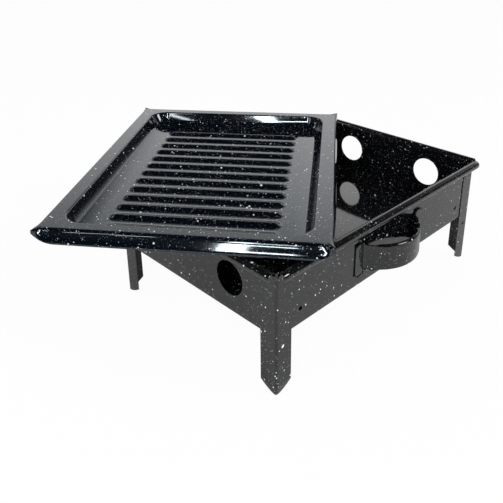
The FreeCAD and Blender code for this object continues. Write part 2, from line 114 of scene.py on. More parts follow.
def weld(piece, gap):
    # points no further apart than the gap become one, and all normals are made to agree
    work = bmesh.new()
    work.from_mesh(piece.data)
    bmesh.ops.remove_doubles(work, verts=work.verts, dist=gap)
    bmesh.ops.recalc_face_normals(work, faces=work.faces)
    work.to_mesh(piece.data)
    work.free()


def faceTowards(piece, direction):
    # sum of area times the normal's share along the direction, over the faces that lie
    # square to it: when it is below zero the sheet is inside out
    count = len(piece.data.polygons)
    normals = np.empty(count * 3)
    areas = np.empty(count)
    piece.data.polygons.foreach_get("normal", normals)
    piece.data.polygons.foreach_get("area", areas)
    along = normals.reshape(-1, 3) @ np.asarray(direction, dtype=float)
    if np.sum(along * areas * (np.abs(along) > squareTo)) < 0:
        piece.data.flip_normals()


def bakeModifiers(piece):
    # the mesh as its modifiers show it takes the mesh's place, shaded smooth
    graph = bpy.context.evaluated_depsgraph_get()
    graph.update()
    done = bpy.data.meshes.new_from_object(piece.evaluated_get(graph))
    piece.modifiers.clear()
    old = piece.data
    piece.data = done
    bpy.data.meshes.remove(old)
    done.name = piece.name
    done.polygons.foreach_set("use_smooth", np.ones(len(done.polygons), dtype=bool))
    done.set_sharp_from_angle(angle=math.radians(creaseFrom))
    done.update()


def finishSheet(piece, shape, direction, material):
    # seams closed, faces turned to the direction, then thickness behind them and soft edges
    weld(piece, shape["seam"])
    faceTowards(piece, direction)
    sheet = piece.modifiers.new("thickness", "SOLIDIFY")
    sheet.thickness = shape["sheet"]
    sheet.offset = -1
    sheet.use_even_offset = True
    sheet.use_quality_normals = True
    edges = piece.modifiers.new("edges", "BEVEL")
    edges.width = shape["edge"]
    edges.segments = 2
    edges.limit_method = "ANGLE"
    edges.angle_limit = math.radians(roundedFrom)
    bakeModifiers(piece)
    piece.data.materials.append(material)


# node helpers for the materials and the surround

def setInputs(tree, node, inputs):
    # each input takes a value or another node's output
    for name, value in inputs.items():
        if isinstance(value, bpy.types.NodeSocket):
            tree.links.new(value, node.inputs[name])
        else:
            node.inputs[name].default_value = value


def addNode(tree, kind, inputs):
    # new node with its inputs set
    node = tree.nodes.new(kind)
    setInputs(tree, node, inputs)
    return node


def combine(tree, operation, first, second):
    # one number made of two
    node = tree.nodes.new("ShaderNodeMath")
    node.operation = operation
    setInputs(tree, node, {0: first, 1: second})
    return node.outputs[0]


def mapRange(tree, value, start, end, low, high, smooth=False):
    # a number that runs from low to high as the value runs from start to end
    node = tree.nodes.new("ShaderNodeMapRange")
    if smooth:
        node.interpolation_type = "SMOOTHSTEP"
    setInputs(tree, node, {"Value": value, "From Min": start, "From Max": end,
                           "To Min": low, "To Max": high})
    return node.outputs["Result"]


# enamel: black glass on steel, with pale specks of four sizes and a faint wave in the gloss

enamelLook = {
    "ground": (0.0030, 0.0033, 0.0040),
    "speck": (0.70, 0.72, 0.74),
    "gloss": 0.038,           # least roughness
    "glossSpread": 2.0,       # the wave takes it up to this many times the least
    "index": 1.56,
    "tint": (1.0, 1.0, 1.0),
    "specks": (               # cells per metre, largest radius, share of cells, strength
        {"cells": 190.0, "largest": 1.20 * mm, "share": 0.55, "strength": 1.0},
        {"cells": 420.0, "largest": 0.60 * mm, "share": 0.50, "strength": 0.60},
        {"cells": 900.0, "largest": 0.32 * mm, "share": 0.50, "strength": 0.40},
        {"cells": 92.0, "largest": 1.90 * mm, "share": 0.32, "strength": 1.0},
    ),
    "speckRim": 0.3,          # soft rim, as a share of the largest radius
    "wave": 26.0,
    "waveDepth": 0.10 * mm,
    "peel": 500.0,
    "peelDepth": 0.006 * mm,
}

# the tray's enamel is a little bluer
trayEnamelLook = {**enamelLook, "ground": (0.0012, 0.0026, 0.0046), "tint": (0.80, 0.93, 1.0)}


def speckLayer(tree, place, kind, rim):
    # a speck is a round spot in some of the cells: its radius is a chance number of the
    # cell, from nothing to the largest, and its strength is the depth inside that radius
    cells = addNode(tree, "ShaderNodeTexVoronoi", {"Scale": kind["cells"], "Vector": place})
    chance = tree.nodes.new("ShaderNodeTexWhiteNoise")
    chance.noise_dimensions = "3D"
    setInputs(tree, chance, {"Vector": cells.outputs["Color"]})
    largest = kind["largest"] * kind["cells"]
    radius = mapRange(tree, chance.outputs["Value"], 1 - kind["share"], 1, 0, largest)
    depth = combine(tree, "SUBTRACT", radius, cells.outputs["Distance"])
    return mapRange(tree, depth, 0, largest * rim, 0, kind["strength"])


def enamel(name, look):
    # the ground colour gives way to the speck colour by the strongest of the speck layers
    material = bpy.data.materials.new(name)
    material.use_nodes = True
    tree = material.node_tree
    place = tree.nodes.new("ShaderNodeTexCoord").outputs["Object"]
    layers = [speckLayer(tree, place, kind, look["speckRim"]) for kind in look["specks"]]
    total = layers[0]
    for layer in layers[1:]:
        total = combine(tree, "MAXIMUM", total, layer)
    colour = tree.nodes.new("ShaderNodeMix")
    colour.data_type = "RGBA"
    setInputs(tree, colour, {"A": (*look["ground"], 1), "B": (*look["speck"], 1), "Factor": total})

    # the gloss carries a slow wave of the sheet and a fine grain of the glaze
    wave = addNode(tree, "ShaderNodeTexNoise", {"Scale": look["wave"], "Vector": place})
    peel = addNode(tree, "ShaderNodeTexNoise", {"Scale": look["peel"], "Vector": place})
    waveBump = addNode(tree, "ShaderNodeBump", {
        "Distance": look["waveDepth"],
        "Height": wave.outputs["Fac"],
    })
    peelBump = addNode(tree, "ShaderNodeBump", {
        "Distance": look["peelDepth"],
        "Height": peel.outputs["Fac"],
        "Normal": waveBump.outputs["Normal"],
    })
    gloss = look["gloss"]
    setInputs(tree, tree.nodes["Principled BSDF"], {
        "Base Color": colour.outputs["Result"],
        "Normal": peelBump.outputs["Normal"],
        "Roughness": mapRange(tree, wave.outputs["Fac"], 0, 1, gloss, gloss * look["glossSpread"]),
        "IOR": look["index"],
        "Specular Tint": (*look["tint"], 1),
    })
    return material


boxEnamel = enamel("box_enamel", enamelLook)
trayEnamel = enamel("tray_enamel", trayEnamelLook)
print("enamel made")


# the griddle tray: rings from the skirt's lower edge inwards, then a ribbed patch

trayShape = {
    "turn": 38.24,                  # how far the tray lies askew on the box
    "halfWidth": 173.2 * mm,
    "halfLength": 228.0 * mm,
    "sheet": 1.0 * mm,
    "edge": 0.35 * mm,
    "seam": 0.01 * mm,
    "skirt": 16.5 * mm,             # from the rim down
    "bend": 6.0 * mm,               # radius between skirt and rim
    "flareFoot": 14.0,              # lean of the skirt off the upright, at its foot
    "flareTop": 27.0,               # and below the bend
    "longSideFlare": 0.5,           # the long sides lean by this share of it
    "flareSteps": 6,
    "bendSteps": 9,
    "skirtRound": 27.0 * mm,        # reach of the skirt's rise towards a corner
    "earDrop": 1.5 * mm,            # the thin ear left at the corner
    "earPull": 5,                   # power by which the ear is drawn out to the outline
    "rimCorner": 0.6 * mm,
    "rimParts": (0.15, 0.4, 0.7, 0.92),    # rings on the rim, as shares of its width
    "panHalfWidth": 147.5 * mm,     # at the top of the pan's wall
    "panCorner": 26.0 * mm,
    "panDepth": 19.2 * mm,
    "shoulder": 3.0 * mm,           # radius between rim and wall
    "shoulderSteps": 8,
    "wallTop": 22.0,                # lean of the wall off the upright, at its top
    "wallFoot": 34.0,               # and at its foot
    "wallSteps": 8,
    "floorRound": 8.0 * mm,         # radius between wall and floor
    "footSteps": 10,
    "dish": 12.0,                   # slope of the floor where it leaves the foot
    "dishSteps": 8,
    "ribs": 13,
    "ribPitch": 26.96 * mm,
    "ribStart": 147.0 * mm,         # middle of the first rib, the others follow towards -Y
    "ribReach": 109.4 * mm,         # half a rib's length
    "ribHalf": 10.5 * mm,           # half a rib's width
    "ribRise": 4.0 * mm,
    "ribSpread": (-1, -0.8, -0.62, -0.45, -0.3, -0.15, 0, 0.15, 0.3, 0.45, 0.62, 0.8, 1),
    "ribEnd": 1.2,                  # a rib's rounded end with a little to spare, in rib halves
    "ribSteps": 12,                 # points along half a rib, then over its end
    "ribEndSteps": 12,
    "besideSteps": 6,               # and beside the ribs
    "besideGap": 1.5 * mm,
    "patchHalfWidth": 118.0 * mm,
    "patchHalfLength": 187.0 * mm,
    "patchEnds": (-1, -0.985, 0.90, 0.94, 0.97, 0.985, 1),
    "patchExtra": 170.0 * mm,       # one more row past the first rib
}


def ringPoints(halfWidth, halfLength, corner, sideX, sideY):
    # rounded rectangle, anticlockwise from the middle of its lower right corner: each side
    # is a straight with an eighth of a circle at both ends, and sideX and sideY, from -1 to
    # 1, say how far along a short or long side a point lies
    def side(half, offset, steps):
        straight = half - corner
        reach = steps * (straight + corner * math.pi / 4)
        over = np.clip(np.abs(reach) - straight, 0, None)
        angle = over / max(corner, hair)
        along = np.sign(reach) * (np.minimum(np.abs(reach), straight) + corner * np.sin(angle))
        out = offset - corner + corner * np.cos(angle)
        return along, out

    longAlong, longOut = side(halfLength, halfWidth, sideY)
    shortAlong, shortOut = side(halfWidth, halfLength, sideX)
    right = np.stack([longOut, longAlong], axis=-1)
    front = np.stack([shortAlong, -shortOut], axis=-1)
    left = right[::-1] * (-1, 1)
    back = front[::-1] * (1, -1)
    return np.concatenate([right[:-1], back[:-1], left[:-1], front[:-1]])


def bentRun(firstAngle, lastAngle, length, count):
    # inward and upward steps of a curve whose lean off the upright grows evenly with its
    # length: each step is short and straight, at the lean of its own middle
    edges = np.radians(np.linspace(firstAngle, lastAngle, count + 1))
    middles = (edges[1:] + edges[:-1]) / 2
    step = length / count
    return np.stack([np.sin(middles) * step, np.cos(middles) * step], axis=-1)


def bentRise(firstAngle, lastAngle):
    # height gained per length of such a curve: the mean cosine of its lean
    first = math.radians(firstAngle)
    last = math.radians(lastAngle)
    return (math.sin(last) - math.sin(first)) / (last - first)


def runFrom(steps):
    # places reached after each step, from the start at nothing
    return np.concatenate([np.zeros((1, 2)), np.cumsum(steps, axis=0)])


def skirtRows(shape):
    # inset and height from the skirt's lower edge, up the leaning skirt, over the bend
    foot = shape["flareFoot"]
    top = shape["flareTop"]
    bendLength = shape["bend"] * math.radians(90 - top)
    length = (shape["skirt"] - bendLength * bentRise(top, 90)) / bentRise(foot, top)
    rows = runFrom(np.concatenate([
        bentRun(foot, top, length, shape["flareSteps"]),
        bentRun(top, 90, bendLength, shape["bendSteps"]),
    ]))
    rows[:, 1] -= shape["skirt"]
    rows[-1, 1] = 0.0
    return rows


def panRows(shape):
    # inset and height from the rim's inner edge, over the shoulder, down a wall that leans
    # more towards its foot, and round the foot to where the floor's dish takes over
    top = shape["wallTop"]
    foot = shape["wallFoot"]
    dish = 90 - shape["dish"]
    shoulderLength = shape["shoulder"] * math.radians(90 - top)
    footLength = shape["floorRound"] * math.radians(dish - foot)
    rounded = shoulderLength * bentRise(top, 90) + footLength * bentRise(foot, dish)
    drop = shape["panDepth"] - rounded
    rows = runFrom((1, -1) * np.concatenate([
        bentRun(90, top, shoulderLength, shape["shoulderSteps"]),
        bentRun(top, foot, drop / bentRise(top, foot), shape["wallSteps"]),
        bentRun(foot, dish, footLength, shape["footSteps"]),
    ]))
    rows[-1, 1] = -shape["panDepth"]
    return rows


def patchSteps(shape, ribMiddles):
    # across: even along the ribs and closer at their rounded ends; lengthways: closer on
    # each rib than between ribs
    ribEnd = shape["ribReach"]
    endFrom = ribEnd - shape["ribHalf"] * shape["ribEnd"]
    halfX = np.concatenate([
        np.linspace(0, endFrom, shape["ribSteps"])[:-1],
        np.linspace(endFrom, ribEnd, shape["ribEndSteps"]),
        np.linspace(ribEnd + shape["besideGap"], shape["patchHalfWidth"], shape["besideSteps"]),
    ])
    stepsX = np.concatenate([-halfX[:0:-1], halfX])
    half = shape["patchHalfLength"]
    spread = np.array(shape["ribSpread"]) * shape["ribHalf"]
    stepsY = np.concatenate([
        (ribMiddles[:, None] + spread[None, :]).ravel(),
        np.array(shape["patchEnds"]) * half,
        [shape["patchExtra"]],
    ])
    return stepsX, np.unique(np.clip(stepsY, -half, half))


def ribbedPatch(shape, ribMiddles, stepsX, stepsY):
    # a flat floor on which each rib is a swell: half of one plus the cosine of the distance
    # from the rib's middle line, which ends half a rib's width before the rib does
    gridX, gridY = np.meshgrid(stepsX, stepsY, indexing="ij")
    overX = np.clip(np.abs(gridX) - (shape["ribReach"] - shape["ribHalf"]), 0, None)
    nearest = np.min(np.abs(gridY[..., None] - ribMiddles), axis=-1)
    away = np.clip(np.hypot(overX, nearest) / shape["ribHalf"], 0, 1)
    swell = 0.5 + 0.5 * np.cos(away * math.pi)
    return np.stack([gridX, gridY, shape["ribRise"] * swell - shape["panDepth"]], axis=-1)


def trayRings(shape, skirt, pan):
    # inset along X, inset along Y, height and corner radius of each ring, from the skirt's
    # lower edge to the pan's foot; the wall's top lies at the pan's own half width
    outset = pan[shape["shoulderSteps"], 0]
    rimOuter = skirt[-1, 0]
    rimInner = shape["halfWidth"] - shape["panHalfWidth"] - outset
    panCorner = shape["panCorner"] + outset
    flare = shape["longSideFlare"]
    rings = [(inset * flare, inset, height, shape["rimCorner"]) for inset, height in skirt]
    for part in shape["rimParts"]:
        insets = [rimOuter * share + (rimInner - rimOuter * share) * part for share in (flare, 1)]
        rings.append((*insets, 0.0, shape["rimCorner"] + panCorner * part))
    rings += [(rimInner + inset, rimInner + inset, height, panCorner - inset)
              for inset, height in pan]
    return rings


def addDish(rows, shape, panCount, edge):
    # from the pan's foot to the patch's edge the floor falls as the square of the way left,
    # and meets the patch level and point for point
    foot = rows[-1, :, :2]
    run = np.hypot(*(foot - edge).T)
    rise = run * math.tan(math.radians(shape["dish"])) / 2
    rows[-panCount:, :, 2] *= 1 - rise / shape["panDepth"]
    dishRows = []
    for part in np.linspace(0, 1, shape["dishSteps"] + 1)[1:]:
        height = rise * (1 - part) ** 2 - shape["panDepth"]
        dishRows.append(np.column_stack([foot + (edge - foot) * part, height]))
    return np.concatenate([rows, np.array(dishRows)])


def shapeEars(rows, shape, skirtCount):
    # the skirt's lower edge rises towards each corner along a quarter of an ellipse, and
    # what is left of the skirt there, a thin ear, is drawn out to the tray's outline
    outline = rows[0, :, :2].copy()
    fromCorner = np.abs(np.abs(outline[:, 0]) - shape["halfWidth"])
    fromCorner += np.abs(np.abs(outline[:, 1]) - shape["halfLength"])
    inside = np.clip(1 - fromCorner / shape["skirtRound"], 0, 1)
    lift = (shape["skirt"] - shape["earDrop"]) * (1 - np.sqrt(1 - inside ** 2))
    lowest = lift - shape["skirt"]
    below = rows[:skirtCount, :, 2] < lowest[None, :]
    for index in range(skirtCount - 2, -1, -1):
        row, following = rows[index], rows[index + 1]
        over = np.clip((lowest - row[:, 2]) / (following[:, 2] - row[:, 2]), 0, 1)
        moved = row + (following - row) * over[:, None]
        rows[index] = np.where(below[index][:, None], moved, row)
    pull = inside ** shape["earPull"]
    rows[:skirtCount, :, :2] += (outline - rows[:skirtCount, :, :2]) * pull[:, None]


def makeTray(shape):
    # rows of ring points, then the patch, whose edge is the last row point for point
    ribMiddles = shape["ribStart"] - shape["ribPitch"] * np.arange(shape["ribs"])
    stepsX, stepsY = patchSteps(shape, ribMiddles)
    patch = ribbedPatch(shape, ribMiddles, stepsX, stepsY)
    sideX = stepsX / shape["patchHalfWidth"]
    sideY = stepsY / shape["patchHalfLength"]
    skirt = skirtRows(shape)
    pan = panRows(shape)
    rows = []
    for insetX, insetY, height, corner in trayRings(shape, skirt, pan):
        halves = shape["halfWidth"] - insetX, shape["halfLength"] - insetY
        ring = ringPoints(*halves, corner, sideX, sideY)
        rows.append(np.column_stack([ring, np.full(len(ring), height)]))
    edge = ringPoints(shape["patchHalfWidth"], shape["patchHalfLength"], hair, sideX, sideY)
    rows = addDish(np.array(rows), shape, len(pan), edge)
    shapeEars(rows, shape, len(skirt))
    points, faces = joinGrids([
        (rows, gridFaces(*rows.shape[:2], closed=True)),
        (patch, gridFaces(*patch.shape[:2])),
    ])

    # turned about its middle and set with its rim at the top of the CAD tray
    low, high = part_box("griddle_tray")
    cosine = math.cos(math.radians(shape["turn"]))
    sine = math.sin(math.radians(shape["turn"]))
    placed = np.column_stack([
        (low[0] + high[0]) / 2 + points[:, 0] * cosine - points[:, 1] * sine,
        (low[1] + high[1]) / 2 + points[:, 0] * sine + points[:, 1] * cosine,
        high[2] + points[:, 2],
    ])
    piece = meshFrom("griddle_tray_sheet", placed, faces)
    finishSheet(piece, shape, (0, 0, 1), trayEnamel)
    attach(piece, "tray")
    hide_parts("griddle_tray")
    return piece


tray = makeTray(trayShape)
print("tray", len(tray.data.polygons))


# sheets with round holes: a block of grid cells gives way to two rings about each hole

def holedGrid(points, holes):
    # each hole has a block of rows and columns and a function that gives the rim point for
    # each point of the block's outline; the ring between them lies at a share of the way
    ringPart = 0.35
    rows, columns = points.shape[:2]
    keep = np.ones((rows - 1, columns - 1), dtype=bool)
    flat = points.reshape(-1, 3)
    allPoints = [flat]
    ringFaces = []
    count = len(flat)
    for hole in holes:
        top, bottom = hole["rows"]
        left, right = hole["columns"]
        keep[top:bottom, left:right] = False
        outline = [(top, column) for column in range(left, right)]
        outline += [(row, right) for row in range(top, bottom)]
        outline += [(bottom, column) for column in range(right, left, -1)]
        outline += [(row, left) for row in range(bottom, top, -1)]
        index = np.array([row * columns + column for row, column in outline])
        edge = flat[index]
        rim = hole["rim"](edge)
        allPoints += [rim + (edge - rim) * ringPart, rim]
        size = len(index)
        rings = np.stack([index, count + np.arange(size), count + size + np.arange(size)])
        count += size * 2
        turned = np.roll(rings, -1, axis=1)
        for near, far in ((0, 1), (1, 2)):
            sides = [rings[near], turned[near], turned[far], rings[far]]
            ringFaces.append(np.stack(sides, axis=-1))
    faces = gridFaces(rows, columns).reshape(rows - 1, columns - 1, 4)[keep]
    return np.concatenate(allPoints), np.concatenate([faces] + ringFaces)


def circleRim(middle, radius, flatAxis):
    # the rim point for an outline point lies one radius from the middle on the way to it
    middle = np.asarray(middle)

    def rim(edge):
        away = edge - middle
        away[:, flatAxis] = 0
        return middle + radius * away / np.linalg.norm(away, axis=1)[:, None]

    return rim


# the fire box: the inner face of floor, walls and rolled lips, thickened outwards

boxShape = {
    "halfWidth": 148.0 * mm,
    "halfLength": 212.3 * mm,
    "sheet": 1.0 * mm,
    "edge": 0.3 * mm,
    "seam": 0.01 * mm,
    "floor": 78.0 * mm,
    "fold": 1.5 * mm,
    "foldSteps": 4,
    "wallTop": 159.2 * mm,
    "lip": 6.3 * mm,             # radius of the rolled lip
    "lipTurn": 238.0,
    "lipSteps": 20,
    "slotReach": 9.8 * mm,       # slots for the legs' tongues, from the wall's end
    "slotAngle": 50.6,           # and up to this turn of the lip
    "slotClear": 1.0 * mm,
    "slotMerge": 5.0,            # lip steps nearer than this to the slot's angle are left out
    "airRadius": 22.1 * mm,
    "airAcross": 73.4 * mm,
    "airHeight": 122.7 * mm,
    "airBlock": 25.0 * mm,       # half the block of cells that gives way to the hole
    "airStep": 4.2 * mm,
    "hangRadius": 2.8 * mm,
    "hangAlong": 173.5 * mm,
    "hangHeight": 99.0 * mm,
    "hangBlock": 4.5 * mm,
    "hangStep": 1.5 * mm,
    "lowRows": (5.5 * mm, 10.0 * mm),    # rows of the wall close above the floor
    "plainStep": 9.0 * mm,
    "leastStep": 0.4 * mm,
}


def wallRows(shape, half, heights):
    # a wall's profile, outward place and height: a quarter circle up from the floor, the
    # flat wall, and the lip, which is a circle's arc that starts upright and rolls outwards
    fold = shape["fold"]
    turns = np.radians(np.linspace(0, 90, shape["foldSteps"] + 1))
    foldPart = np.column_stack([half - fold + fold * np.sin(turns),
                                shape["floor"] + fold - fold * np.cos(turns)])
    flatPart = np.column_stack([np.full(len(heights), half), heights])
    slotAngle = shape["slotAngle"]
    angles = np.linspace(0, shape["lipTurn"], shape["lipSteps"] + 1)[1:]
    angles = np.sort(np.append(angles[np.abs(angles - slotAngle) > shape["slotMerge"]], slotAngle))
    turns = np.radians(angles)
    lipPart = np.column_stack([half + shape["lip"] * (1 - np.cos(turns)),
                               shape["wallTop"] + shape["lip"] * np.sin(turns)])
    flatEnd = len(foldPart) + len(flatPart)
    slotEnd = flatEnd + int(np.sum(angles <= slotAngle + hair))
    return np.concatenate([foldPart, flatPart, lipPart]), len(foldPart), flatEnd, slotEnd


def wallGrid(shape, wall, heights, sign):
    # the profile carried along the wall, drawn in at the fold to meet the floor; wall says
    # where it stands, its half length, the steps along it, its holes and the axis it faces
    half = wall["half"]
    other = wall["other"]
    steps = wall["steps"]
    rows, flatStart, flatEnd, slotEnd = wallRows(shape, half, heights)
    reach = np.minimum(rows[:, 0] - half, 0) + other
    across = np.broadcast_to(rows[:, :1], (len(rows), len(steps))) * sign
    along = reach[:, None] * (steps / other)[None, :]
    height = np.broadcast_to(rows[:, 1:], across.shape)
    order = (across, along, height) if wall["axis"] == 0 else (along, across, height)
    points = np.stack(order, axis=-1)

    holes = []
    block = wall["block"]
    flatHeights = rows[flatStart:flatEnd, 1]
    span = [nearestIndex(flatHeights, wall["holeHeight"] + offset) + flatStart
            for offset in (-block, block)]
    for middle in wall["middles"]:
        columns = [nearestIndex(steps, middle + offset) for offset in (-block, block)]
        place = [middle, middle, wall["holeHeight"]]
        place[wall["axis"]] = half * sign
        rim = circleRim(place, wall["radius"], wall["axis"])
        holes.append({"rows": span, "columns": columns, "rim": rim})
    points, faces = holedGrid(points, holes)

    # the slots for the legs' tongues are left open near the ends of the lip's root
    size = len(steps)
    row = faces // size
    column = faces % size
    isGrid = (faces < len(rows) * size).all(axis=1)
    inSlot = (row.min(axis=1) >= flatEnd - 1) & (row.max(axis=1) <= slotEnd - 1)
    atEnd = np.abs(steps[column]).min(axis=1) >= other - shape["slotReach"] - hair
    return points, faces[~(isGrid & inSlot & atEnd)]


def wallSteps(shape, half, middle, block, step):
    # close steps over both holes' blocks, wider ones between the slots, and both ends
    nearHole = closeSpan(-block, block, step)
    slot = half - shape["slotReach"] + shape["slotClear"]
    steps = np.concatenate([nearHole - middle, nearHole + middle,
                            closeSpan(-slot, slot, shape["plainStep"]), [-half, half]])
    return mergeSteps(steps, shape["leastStep"])


def makeFireBox(shape):
    # two long walls, two end walls and a level floor, which share the points where they meet
    air = shape["airBlock"]
    hang = shape["hangBlock"]
    heights = mergeSteps(np.concatenate([
        closeSpan(shape["airHeight"] - air, shape["airHeight"] + air, shape["airStep"]),
        closeSpan(shape["hangHeight"] - hang, shape["hangHeight"] + hang, shape["hangStep"]),
        shape["floor"] + np.array(shape["lowRows"]),
        [shape["wallTop"]],
    ]), shape["leastStep"])
    stepsX = wallSteps(shape, shape["halfWidth"], shape["airAcross"], air, shape["airStep"])
    stepsY = wallSteps(shape, shape["halfLength"], shape["hangAlong"], hang, shape["hangStep"])
    longWall = {
        "axis": 0, "half": shape["halfWidth"], "other": shape["halfLength"], "steps": stepsY,
        "middles": (-shape["hangAlong"], shape["hangAlong"]), "holeHeight": shape["hangHeight"],
        "radius": shape["hangRadius"], "block": hang,
    }
    endWall = {
        "axis": 1, "half": shape["halfLength"], "other": shape["halfWidth"], "steps": stepsX,
        "middles": (-shape["airAcross"], shape["airAcross"]), "holeHeight": shape["airHeight"],
        "radius": shape["airRadius"], "block": air,
    }
    grids = [wallGrid(shape, wall, heights, sign)
             for sign in (1, -1) for wall in (longWall, endWall)]
    inX = (shape["halfWidth"] - shape["fold"]) / shape["halfWidth"]
    inY = (shape["halfLength"] - shape["fold"]) / shape["halfLength"]
    gridX, gridY = np.meshgrid(stepsX * inX, stepsY * inY, indexing="ij")
    floor = np.stack([gridX, gridY, np.full(gridX.shape, shape["floor"])], axis=-1)
    grids.append((floor, gridFaces(len(stepsX), len(stepsY))))
    piece = meshFrom("fire_box_sheet", *joinGrids(grids))
    finishSheet(piece, shape, (0, 0, 1), boxEnamel)
    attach(piece, "root")
    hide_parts("fire_box")
    return piece


fireBox = makeFireBox(boxShape)
print("fire box", len(fireBox.data.polygons))


# the legs: one folded strip each, its outline rounded at the feet, shoulders and tongue

legShape = {
    "cornerX": 150.0 * mm,
    "cornerY": 214.3 * mm,
    "flange": 25.0 * mm,
    "sheet": 1.0 * mm,
    "edge": 0.4 * mm,
    "seam": 0.004 * mm,
    "height": 163.5 * mm,        # to the top of the tongue
    "shoulder": 152.5 * mm,
    "tip": 10.5 * mm,            # the tongue's width on each flange
    "tipRound": 8.5 * mm,
    "corner": 7.0 * mm,          # radius of the shoulder's far corner
    "roundSteps": 8,
    "footRise": 10.0 * mm,       # the foot rises this much towards a flange's far edge
    "footReach": 23.0 * mm,
    "footBend": 1.6,
    "fold": 2.8 * mm,
    "foldSteps": 6,
    "holeInset": 11.5 * mm,
    "holeHeight": 63.0 * mm,
    "holeRadius": 2.6 * mm,
    "holeBlock": 4.4 * mm,
    "holeStep": 1.1 * mm,
    "rowStep": 12.0 * mm,
    "firstRow": 14.0 * mm,
    "lastRow": 140.0 * mm,
    "tongueStep": 0.02 * mm,     # the shoulder turns into the tongue within this width
    "leastColumn": 0.015 * mm,
    "leastRow": 0.2 * mm,
}


def legColumns(shape):
    # distances from a flange's far edge, close together where its outline or its hole turns
    flange = shape["flange"]
    block = shape["holeBlock"]
    step = flange - shape["tip"]
    holeAt = flange - shape["holeInset"]
    quarter = 1 - np.cos(np.radians(np.linspace(0, 90, shape["roundSteps"])))
    away = np.concatenate([shape["corner"] * quarter, step + shape["tipRound"] * quarter,
                           [flange - shape["fold"]]])
    away = away[np.abs(away - holeAt) > block]
    away = np.concatenate([away, closeSpan(holeAt - block, holeAt + block, shape["holeStep"]),
                           [step - shape["tongueStep"], step]])
    away = mergeSteps(away, shape["leastColumn"])
    return away[away <= flange - shape["fold"] + hair]


def legOutline(shape, away):
    # low: the foot rises as a power of the way to the far edge; high: a quarter circle at
    # the shoulder's corner, a level shoulder, and a quarter circle up to the tongue's top
    corner = shape["corner"]
    tipRound = shape["tipRound"]
    step = shape["flange"] - shape["tip"]
    low = shape["footRise"] * np.clip(1 - away / shape["footReach"], 0, 1) ** shape["footBend"]
    turned = corner - np.sqrt(np.clip(corner ** 2 - np.clip(corner - away, 0, None) ** 2, 0, None))
    overTip = np.clip(away - step, 0, tipRound)
    tongue = shape["height"] - tipRound + np.sqrt(tipRound ** 2 - (tipRound - overTip) ** 2)
    return low, np.where(away >= step - hair, tongue, shape["shoulder"] - turned)


def makeLeg(node, shape, sideX, sideY):
    # one strip of columns, from the far edge of one flange over the fold to the other's;
    # its rows run from the foot's outline through level ones to the outline at the top
    flange = shape["flange"]
    block = shape["holeBlock"]
    holeHeight = shape["holeHeight"]
    away = legColumns(shape)
    low, high = legOutline(shape, away)
    turns = np.radians(np.linspace(0, 90, shape["foldSteps"] + 1))[1:-1]
    fold = shape["fold"]
    flat = np.zeros(len(away))
    columnsX = np.concatenate([flat, fold - fold * np.cos(turns), (flange - away)[::-1]])
    columnsY = np.concatenate([flange - away, fold - fold * np.sin(turns), flat])
    columnLow = np.concatenate([low, np.zeros(len(turns)), low[::-1]])
    columnHigh = np.concatenate([high, np.full(len(turns), shape["height"]), high[::-1]])
    level = mergeSteps(np.concatenate([
        closeSpan(shape["firstRow"], holeHeight - block, shape["rowStep"]),
        closeSpan(holeHeight - block, holeHeight + block, shape["holeStep"]),
        closeSpan(holeHeight + block, shape["lastRow"], shape["rowStep"]),
    ]), shape["leastRow"])
    levelRows = np.broadcast_to(level[:, None], (len(level), len(columnLow)))
    heights = np.concatenate([[columnLow], levelRows, [columnHigh]])
    points = np.stack([
        np.broadcast_to((shape["cornerX"] - columnsX) * sideX, heights.shape),
        np.broadcast_to((shape["cornerY"] - columnsY) * sideY, heights.shape),
        heights,
    ], axis=-1)

    # the small hole is in the flange that lies along the long wall
    holeAt = flange - shape["holeInset"]
    middle = (shape["cornerX"] * sideX, (shape["cornerY"] - shape["holeInset"]) * sideY, holeHeight)
    hole = {
        "rows": [nearestIndex(level, holeHeight + offset) + 1 for offset in (-block, block)],
        "columns": [nearestIndex(away, holeAt + offset) for offset in (-block, block)],
        "rim": circleRim(middle, shape["holeRadius"], 0),
    }
    piece = meshFrom(node + "_sheet", *holedGrid(points, [hole]))
    finishSheet(piece, shape, (sideX, 0, 0), boxEnamel)
    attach(piece, "root")
    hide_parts(node)
    return piece


for node, sideX, sideY in (("leg_front_right", 1, -1), ("leg_back_right", 1, 1),
                           ("leg_front_left", -1, -1), ("leg_back_left", -1, 1)):
    leg = makeLeg(node, legShape, sideX, sideY)
    print(node, len(leg.data.polygons))


# the handles: a bowed strap, lower along the bow than at its flat ends

handleShape = {
    "wall": 149.0 * mm,
    "sheet": 1.5 * mm,
    "edge": 0.35 * mm,
    "seam": 0.004 * mm,
    "halfSpan": 73.5 * mm,
    "reach": 33.8 * mm,          # how far the bow stands off the wall
    "bow": 61.0 * mm,            # radius of the bow
    "bend": 6.0 * mm,            # radius between a flat end and the bow
    "middle": 115.0 * mm,        # height of the strap's middle
    "halfGrip": 18.0 * mm,
    "halfPad": 23.5 * mm,
    "gripEnd": 55.0 * mm,        # along the strap: full grip up to here
    "padStart": 60.5 * mm,       # and full pad from here
    "corner": 4.0 * mm,
    "curl": 3.0 * mm,            # radius of the bow's turned-in edges
    "curlTurn": 180.0,
    "curlEnd": 50.0 * mm,
    "curlEase": 6.0 * mm,
    "curlLeast": 0.02,           # share of the curl that stays at the flat ends
    "cornerSteps": 6,
    "flatStep": 2.0 * mm,
    "bendSteps": 10,
    "bowSteps": 39,
    "curlSteps": 8,
    "acrossSteps": 6,
}


